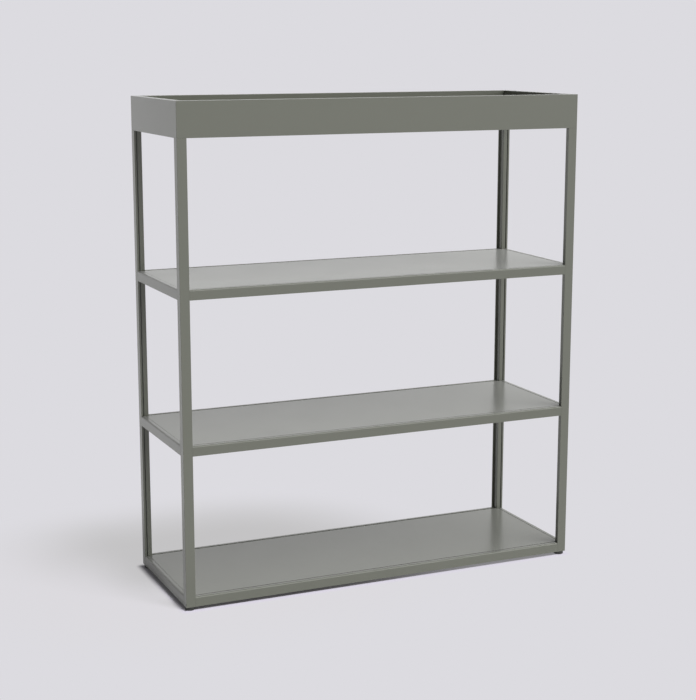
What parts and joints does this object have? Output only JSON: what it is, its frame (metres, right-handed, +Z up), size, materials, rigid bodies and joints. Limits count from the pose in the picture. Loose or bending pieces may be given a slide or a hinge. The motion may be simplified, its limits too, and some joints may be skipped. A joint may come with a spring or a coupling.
{
  "type": "shelving unit",
  "caption": "Open metal shelving unit: uprights joined by rail frames with drop-in shelves, an open tray on top and levelling feet.",
  "frame": {"origin": "on the floor under the middle of the unit", "axes": "+X to the unit's right as seen from its front, +Y to its rear, +Z up"},
  "size_m": [1, 0.34, 1.145],
  "materials": {
    "coated_frame": "semi-matt powder coat on extruded sections",
    "coated_sheet": "semi-matt powder coat on folded sheet",
    "zinc_casting": "bare casting",
    "zinc_plated_steel": "zinc plated",
    "black_plastic": "moulded, matt"
  },
  "bodies": {
    "frame": {"upright_front_left": "coated_frame", "upright_front_right": "coated_frame", "upright_rear_left": "coated_frame", "upright_rear_right": "coated_frame", "lower_shelf": "coated_sheet", "lower_rail_locks": "zinc_casting", "lower_lock_screws": "zinc_plated_steel", "lower_front_rail": "coated_frame", "lower_rear_rail": "coated_frame", "lower_left_rail": "coated_frame", "lower_right_rail": "coated_frame", "lower_shelf_stiffener_front": "coated_sheet", "lower_shelf_stiffener_rear": "coated_sheet", "middle_shelf": "coated_sheet", "middle_rail_locks": "zinc_casting", "middle_lock_screws": "zinc_plated_steel", "middle_front_rail": "coated_frame", "middle_rear_rail": "coated_frame", "middle_left_rail": "coated_frame", "middle_right_rail": "coated_frame", "middle_shelf_stiffener_front": "coated_sheet", "middle_shelf_stiffener_rear": "coated_sheet", "upper_shelf": "coated_sheet", "upper_rail_locks": "zinc_casting", "upper_lock_screws": "zinc_plated_steel", "upper_front_rail": "coated_frame", "upper_rear_rail": "coated_frame", "upper_left_rail": "coated_frame", "upper_right_rail": "coated_frame", "upper_shelf_stiffener_front": "coated_sheet", "upper_shelf_stiffener_rear": "coated_sheet", "tray_floor": "coated_sheet", "tray_key_screws": "zinc_plated_steel", "tray_front_fascia": "coated_frame", "tray_rear_fascia": "coated_frame", "tray_left_fascia": "coated_frame", "tray_right_fascia": "coated_frame", "tray_stiffener_front": "coated_sheet", "tray_stiffener_rear": "coated_sheet", "tray_corner_key_front_left": "zinc_casting", "foot_insert_front_left": "zinc_casting", "tray_corner_key_front_right": "zinc_casting", "foot_insert_front_right": "zinc_casting", "tray_corner_key_rear_left": "zinc_casting", "foot_insert_rear_left": "zinc_casting", "tray_corner_key_rear_right": "zinc_casting", "foot_insert_rear_right": "zinc_casting"},
    "foot_front_left": {"foot_pad_front_left": "black_plastic", "foot_stud_front_left": "zinc_plated_steel"},
    "foot_front_right": {"foot_pad_front_right": "black_plastic", "foot_stud_front_right": "zinc_plated_steel"},
    "foot_rear_left": {"foot_pad_rear_left": "black_plastic", "foot_stud_rear_left": "zinc_plated_steel"},
    "foot_rear_right": {"foot_pad_rear_right": "black_plastic", "foot_stud_rear_right": "zinc_plated_steel"}
  },
  "joints": [
    {"name": "foot_level_front_left", "type": "slide", "parent": "frame", "child": "foot_front_left", "axis": [0, 0, -1], "range_m": [0, 0.01]},
    {"name": "foot_level_front_right", "type": "slide", "parent": "frame", "child": "foot_front_right", "axis": [0, 0, -1], "range_m": [0, 0.01]},
    {"name": "foot_level_rear_left", "type": "slide", "parent": "frame", "child": "foot_rear_left", "axis": [0, 0, -1], "range_m": [0, 0.01]},
    {"name": "foot_level_rear_right", "type": "slide", "parent": "frame", "child": "foot_rear_right", "axis": [0, 0, -1], "range_m": [0, 0.01]}
  ]
}
